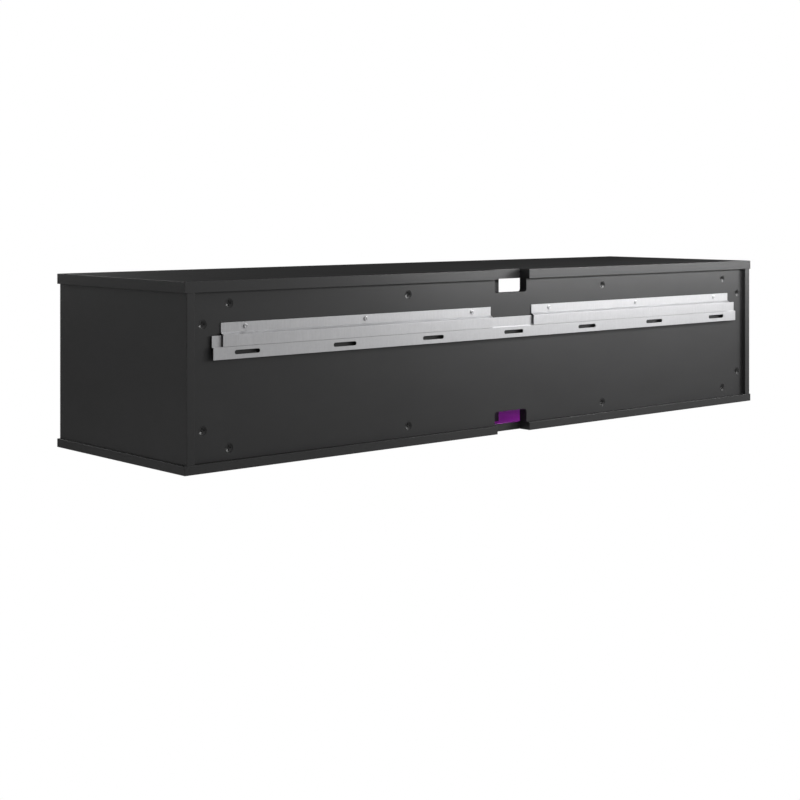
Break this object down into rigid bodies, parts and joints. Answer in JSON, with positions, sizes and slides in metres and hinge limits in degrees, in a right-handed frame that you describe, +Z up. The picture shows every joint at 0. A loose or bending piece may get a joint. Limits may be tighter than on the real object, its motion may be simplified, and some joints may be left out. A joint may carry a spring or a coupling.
{
  "type": "electric fireplace console",
  "caption": "Wall-hung black media console with an electric fireplace insert in one bay, an LED-lit open bay, cable notches and a steel French-cleat hanging rail.",
  "frame": {"origin": "centre of the bounding box's underside, on the underside of the bottom panel", "axes": "+X to the right seen from the front, -Y is the front, +Y is the wall side, +Z up"},
  "size_m": [1.46, 0.402, 0.304],
  "materials": {
    "black_board": "satin",
    "zinc_cam": "satin",
    "bolt_steel": "satin",
    "beech": "matte",
    "cap_plastic": "matte",
    "galvanised_steel": "satin",
    "screw_steel": "satin",
    "led_aluminium": "satin",
    "white_board": "matte",
    "opal_plastic": "satin",
    "black_plastic": "matte",
    "black_steel": "satin",
    "bright_steel": "satin",
    "front_glass": "gloss",
    "heater_aluminium": "satin",
    "thermostat_ceramic": "satin",
    "fan_metal": "satin",
    "motor_iron": "matte",
    "nylon": "satin",
    "flame_acrylic": "satin",
    "polished_aluminium": "polished",
    "amber_resin": "gloss",
    "crushed_glass": "gloss",
    "display_lens": "gloss",
    "infrared_lens": "gloss",
    "button_plastic": "satin",
    "circuit_green": "satin",
    "component_blue": "satin",
    "red_plastic": "satin",
    "rubber_black": "matte"
  },
  "bodies": {
    "cabinet": {"top_panel": "black_board", "bottom_panel": "black_board", "left_side_panel": "black_board", "right_side_panel": "black_board", "centre_divider": "black_board", "back_panel": "black_board", "cam_locks": "zinc_cam", "cam_bolts": "bolt_steel", "frame_dowels": "beech", "cam_caps": "cap_plastic", "cabinet_rail_left": "galvanised_steel", "cabinet_rail_right": "galvanised_steel", "rail_screws": "screw_steel", "led_channel": "led_aluminium", "led_strip": "white_board", "led_diffuser": "opal_plastic", "led_controller": "black_plastic", "firebox_shell": "black_steel", "rear_cover": "black_steel", "case_screws": "bolt_steel", "front_trim": "black_steel", "front_glass": "front_glass", "glass_clips": "bright_steel", "outlet_louvre": "black_steel", "heat_shield": "bright_steel", "heater_duct": "bright_steel", "heating_element": "heater_aluminium", "thermal_cutout": "thermostat_ceramic", "blower_housing": "bright_steel", "blower_motor": "motor_iron", "shaft_bushes": "nylon", "flame_screen": "flame_acrylic", "flame_reflector": "polished_aluminium", "rotor_motor": "bright_steel", "rotor_brackets": "bright_steel", "flame_led_board": "white_board", "ember_tray": "amber_resin", "ember_led_board": "white_board", "ember_crystals": "crushed_glass", "board_standoffs": "nylon", "control_bezel": "black_plastic", "display_window": "display_lens", "ir_lens": "infrared_lens", "button_board": "circuit_green", "power_board": "circuit_green", "board_components": "component_blue", "power_inlet": "black_plastic", "switch_body": "black_plastic", "insert_brackets": "bright_steel", "bracket_screws": "bolt_steel", "insert_feet": "rubber_black"},
    "wall_rail": {"wall_rail": "galvanised_steel"},
    "flame_rotor": {"rotor_shaft": "bolt_steel", "rotor_paddles": "polished_aluminium"},
    "blower": {"blower_wheel": "fan_metal"},
    "power_button": {"power_button": "button_plastic"},
    "flame_button": {"flame_button": "button_plastic"},
    "heat_button": {"heat_button": "button_plastic"},
    "timer_button": {"timer_button": "button_plastic"},
    "rocker": {"switch_rocker": "red_plastic"}
  },
  "joints": [
    {"name": "wall_rail_unhook", "type": "slide", "parent": "cabinet", "child": "wall_rail", "axis": [0, 0, -1], "range_m": [0, 0.022]},
    {"name": "flame_rotor_spin", "type": "hinge", "parent": "cabinet", "child": "flame_rotor", "pos_m": [0.35925, -0.076, 0.064], "axis": [1, 0, 0], "continuous": true},
    {"name": "blower_spin", "type": "hinge", "parent": "cabinet", "child": "blower", "pos_m": [0.35925, -0.084, 0.25], "axis": [1, 0, 0], "continuous": true},
    {"name": "power_press", "type": "slide", "parent": "cabinet", "child": "power_button", "axis": [0, 1, 0], "range_m": [0, 0.0015], "stiffness_N_per_m": 400},
    {"name": "flame_press", "type": "slide", "parent": "cabinet", "child": "flame_button", "axis": [0, 1, 0], "range_m": [0, 0.0015], "stiffness_N_per_m": 400},
    {"name": "heat_press", "type": "slide", "parent": "cabinet", "child": "heat_button", "axis": [0, 1, 0], "range_m": [0, 0.0015], "stiffness_N_per_m": 400},
    {"name": "timer_press", "type": "slide", "parent": "cabinet", "child": "timer_button", "axis": [0, 1, 0], "range_m": [0, 0.0015], "stiffness_N_per_m": 400},
    {"name": "rocker_tip", "type": "hinge", "parent": "cabinet", "child": "rocker", "pos_m": [0.59925, -0.042, 0.25], "axis": [1, 0, 0], "range_deg": [0, 20]}
  ]
}
